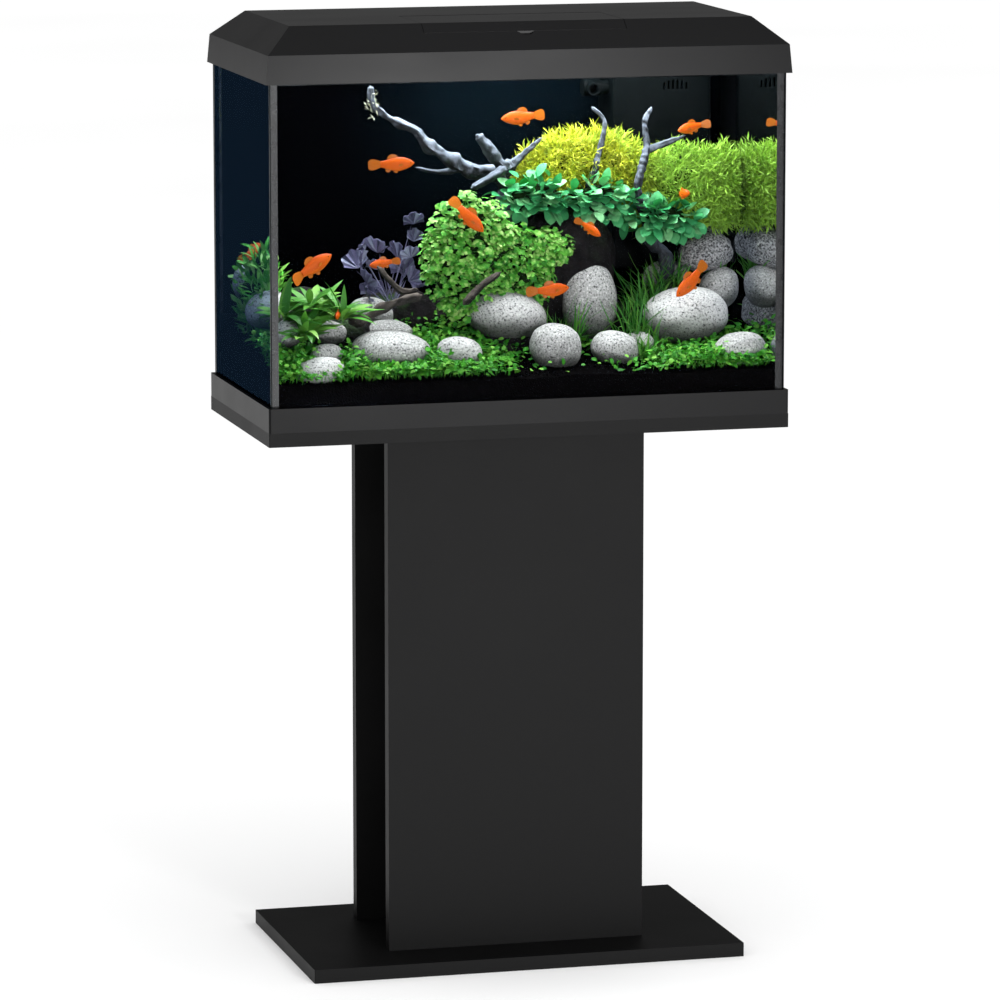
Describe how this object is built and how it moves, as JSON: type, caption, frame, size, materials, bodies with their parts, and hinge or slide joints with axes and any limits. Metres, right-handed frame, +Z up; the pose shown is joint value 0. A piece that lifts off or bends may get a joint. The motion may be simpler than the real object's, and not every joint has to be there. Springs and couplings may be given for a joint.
{
  "type": "aquarium on stand",
  "caption": "Planted rectangular glass aquarium with a lift-off bevelled hood, feeding flap and corner filter, on a matching black column stand.",
  "frame": {"origin": "floor level under the middle of the stand", "axes": "+Z up, +X to the right seen from the front, the front faces -Y"},
  "size_m": [0.612, 0.3132, 1.089],
  "materials": {
    "black_board": "satin black melamine on chipboard",
    "frame_plastic": "satin moulded black",
    "hood_plastic": "satin moulded black",
    "clear_glass": "clear float glass",
    "silicone": "black silicone",
    "dark_film": "gloss navy black film",
    "zinc_steel": "zinc plated",
    "light_alloy": "anodised",
    "circuit_white": "white solder mask",
    "chip_yellow": "phosphor",
    "clear_plastic": "frosted clear",
    "filter_plastic": "black moulded",
    "blue_foam": "open cell foam",
    "white_foam": "fine floss",
    "impeller_plastic": "moulded",
    "ceramic_white": "ground",
    "grey_rubber": "suction cup rubber",
    "black_sand": "dark coarse sand",
    "lava_rock": "rough dark rock",
    "pale_stone": "speckled grey granite cobble",
    "drift_wood": "bleached driftwood",
    "moss": "needle moss",
    "dark_leaf": "glossy broad leaves",
    "pale_leaf": "small lobed leaves",
    "carpet_leaf": "low small leaves",
    "long_leaf": "long lance-shaped leaves",
    "lotus_leaf": "purple lotus leaves",
    "grass_leaf": "grass blades",
    "orange_fish": "orange scales"
  },
  "bodies": {
    "tank": {"base_plate": "black_board", "front_panel": "black_board", "rear_panel": "black_board", "spine_panel": "black_board", "top_board": "black_board", "base_screws": "zinc_steel", "top_screws": "zinc_steel", "base_frame": "frame_plastic", "bottom_pane": "clear_glass", "floor_seam": "silicone", "front_pane": "clear_glass", "rear_pane": "clear_glass", "left_pane": "clear_glass", "right_pane": "clear_glass", "corner_seams": "silicone", "background_film": "dark_film", "filter_housing": "filter_plastic", "coarse_sponge": "blue_foam", "fine_sponge": "white_foam", "pump_body": "filter_plastic", "pump_cover": "filter_plastic", "impeller_shaft": "ceramic_white", "outlet_pipe": "filter_plastic", "heater_tube": "clear_glass", "heater_cap": "filter_plastic", "suction_cups": "grey_rubber", "sand_bed": "black_sand", "dark_rocks": "lava_rock", "left_cobbles": "pale_stone", "middle_cobbles": "pale_stone", "right_cobbles": "pale_stone", "branch_wood": "drift_wood", "tree_wood": "drift_wood", "low_wood": "drift_wood", "moss_mounds": "moss", "broadleaf_plants": "dark_leaf", "bush_plant": "pale_leaf", "front_carpet": "carpet_leaf", "sword_plants": "long_leaf", "lotus_plants": "lotus_leaf", "grass_tufts": "grass_leaf", "swordtail_fish": "orange_fish"},
    "hood": {"hood_shell": "hood_plastic", "flap_hinge_pins": "zinc_steel", "light_housing": "light_alloy", "led_board": "circuit_white", "led_chips": "chip_yellow", "light_lens": "clear_plastic", "light_end_caps": "filter_plastic", "light_brackets": "zinc_steel", "light_screws": "zinc_steel", "light_cable_gland": "filter_plastic"},
    "flap": {"feeding_flap": "hood_plastic"},
    "filter_lid": {"filter_cover": "filter_plastic"},
    "nozzle": {"outlet_nozzle": "filter_plastic"},
    "impeller": {"pump_impeller": "impeller_plastic"}
  },
  "joints": [
    {"name": "hood_lift", "type": "slide", "parent": "tank", "child": "hood", "axis": [0, 0, 1], "range_m": [0, 0.15]},
    {"name": "flap_hinge", "type": "hinge", "parent": "hood", "child": "flap", "pos_m": [0, -0.015, 1.086], "axis": [-1, 0, 0], "range_deg": [0, 100]},
    {"name": "filter_lid_lift", "type": "slide", "parent": "tank", "child": "filter_lid", "axis": [0, 0, 1], "range_m": [0, 0.009]},
    {"name": "nozzle_swivel", "type": "hinge", "parent": "tank", "child": "nozzle", "pos_m": [0.138, 0.096, 0.992], "axis": [-1, 0, 0], "range_deg": [-30, 60]},
    {"name": "impeller_spin", "type": "hinge", "parent": "tank", "child": "impeller", "pos_m": [0.184, 0.096, 0.99], "axis": [0, 0, 1], "continuous": true}
  ]
}
